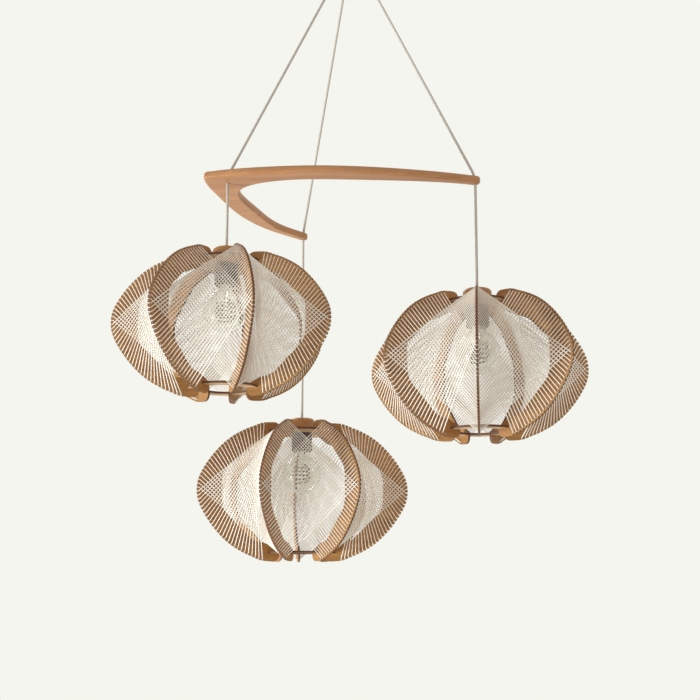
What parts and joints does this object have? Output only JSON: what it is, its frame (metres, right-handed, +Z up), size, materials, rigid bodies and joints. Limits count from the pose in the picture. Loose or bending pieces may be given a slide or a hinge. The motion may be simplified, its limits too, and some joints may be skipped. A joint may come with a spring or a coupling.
{
  "type": "chandelier",
  "caption": "Pendant chandelier: a boomerang-shaped wooden spreader hangs on taut cords and carries globe shades of plywood ribs wound with string, each with a clear globe lamp.",
  "frame": {"origin": "middle of the ceiling bracket's top face, between its two screw holes", "axes": "+Z up to the ceiling, +X along the spreader's long arm to the right as pictured, +Y away from the camera"},
  "size_m": [0.8543, 0.732, 1.213],
  "materials": {
    "canopy_wood": "satin oiled beech, turned",
    "spreader_wood": "satin oiled beech, rounded edges",
    "cap_wood": "satin oiled beech, turned",
    "rib_ply": "bare birch plywood with darker cut edges",
    "ring_ply": "bare birch plywood with darker cut edges",
    "shade_string": "natural cotton string",
    "cord_textile": "pale braided textile cord",
    "holder_plastic": "dark grey",
    "lamp_glass": "clear",
    "lamp_base": "satin nickel",
    "lamp_filament": "amber",
    "steel": "zinc plated",
    "block_plastic": "white",
    "grip_plastic": "pale"
  },
  "bodies": {
    "ceiling_frame": {"canopy": "canopy_wood", "ceiling_bracket": "steel", "canopy_screws": "steel", "terminal_block": "block_plastic", "cord_grips": "grip_plastic", "spreader": "spreader_wood", "upper_cord_a": "cord_textile", "upper_cord_b": "cord_textile", "upper_cord_c": "cord_textile"},
    "cord_a": {"drop_cord_a": "cord_textile"},
    "shade_a": {"cord_cap_a": "cap_wood", "lamp_holder_a": "holder_plastic", "shade_ring_a": "holder_plastic", "rib_a1": "rib_ply", "rib_a2": "rib_ply", "rib_a3": "rib_ply", "rib_a4": "rib_ply", "rib_a5": "rib_ply", "rib_a6": "rib_ply", "rib_a7": "rib_ply", "top_ring_a": "ring_ply", "bottom_ring_a": "ring_ply", "string_winding_a": "shade_string"},
    "lamp_a": {"globe_glass_a": "lamp_glass", "globe_base_a": "lamp_base", "globe_filament_a": "lamp_filament"},
    "cord_b": {"drop_cord_b": "cord_textile"},
    "shade_b": {"cord_cap_b": "cap_wood", "lamp_holder_b": "holder_plastic", "shade_ring_b": "holder_plastic", "rib_b1": "rib_ply", "rib_b2": "rib_ply", "rib_b3": "rib_ply", "rib_b4": "rib_ply", "rib_b5": "rib_ply", "rib_b6": "rib_ply", "rib_b7": "rib_ply", "top_ring_b": "ring_ply", "bottom_ring_b": "ring_ply", "string_winding_b": "shade_string"},
    "lamp_b": {"globe_glass_b": "lamp_glass", "globe_base_b": "lamp_base", "globe_filament_b": "lamp_filament"},
    "cord_c": {"drop_cord_c": "cord_textile"},
    "shade_c": {"cord_cap_c": "cap_wood", "lamp_holder_c": "holder_plastic", "shade_ring_c": "holder_plastic", "rib_c1": "rib_ply", "rib_c2": "rib_ply", "rib_c3": "rib_ply", "rib_c4": "rib_ply", "rib_c5": "rib_ply", "rib_c6": "rib_ply", "rib_c7": "rib_ply", "top_ring_c": "ring_ply", "bottom_ring_c": "ring_ply", "string_winding_c": "shade_string"},
    "lamp_c": {"globe_glass_c": "lamp_glass", "globe_base_c": "lamp_base", "globe_filament_c": "lamp_filament"}
  },
  "joints": [
    {"name": "swing_a", "type": "hinge", "parent": "ceiling_frame", "child": "cord_a", "pos_m": [-0.2254, -0.09816, -0.531], "axis": [1, 0, 0], "range_deg": [-6, 6]},
    {"name": "turn_a", "type": "hinge", "parent": "cord_a", "child": "shade_a", "pos_m": [-0.2254, -0.09816, -0.531], "axis": [0, 0, 1], "range_deg": [-180, 180]},
    {"name": "lamp_turn_a", "type": "hinge", "parent": "shade_a", "child": "lamp_a", "pos_m": [-0.2254, -0.09816, -0.72344], "axis": [0, 0, 1], "continuous": true},
    {"name": "swing_b", "type": "hinge", "parent": "ceiling_frame", "child": "cord_b", "pos_m": [0.22805, -0.09183, -0.531], "axis": [1, 0, 0], "range_deg": [-6, 6]},
    {"name": "turn_b", "type": "hinge", "parent": "cord_b", "child": "shade_b", "pos_m": [0.22805, -0.09183, -0.531], "axis": [0, 0, 1], "range_deg": [-180, 180]},
    {"name": "lamp_turn_b", "type": "hinge", "parent": "shade_b", "child": "lamp_b", "pos_m": [0.22805, -0.09183, -0.79904], "axis": [0, 0, 1], "continuous": true},
    {"name": "swing_c", "type": "hinge", "parent": "ceiling_frame", "child": "cord_c", "pos_m": [-0.10377, 0.22287, -0.531], "axis": [1, 0, 0], "range_deg": [-6, 6]},
    {"name": "turn_c", "type": "hinge", "parent": "cord_c", "child": "shade_c", "pos_m": [-0.10377, 0.22287, -0.531], "axis": [0, 0, 1], "range_deg": [-180, 180]},
    {"name": "lamp_turn_c", "type": "hinge", "parent": "shade_c", "child": "lamp_c", "pos_m": [-0.10377, 0.22287, -0.9866], "axis": [0, 0, 1], "continuous": true}
  ]
}
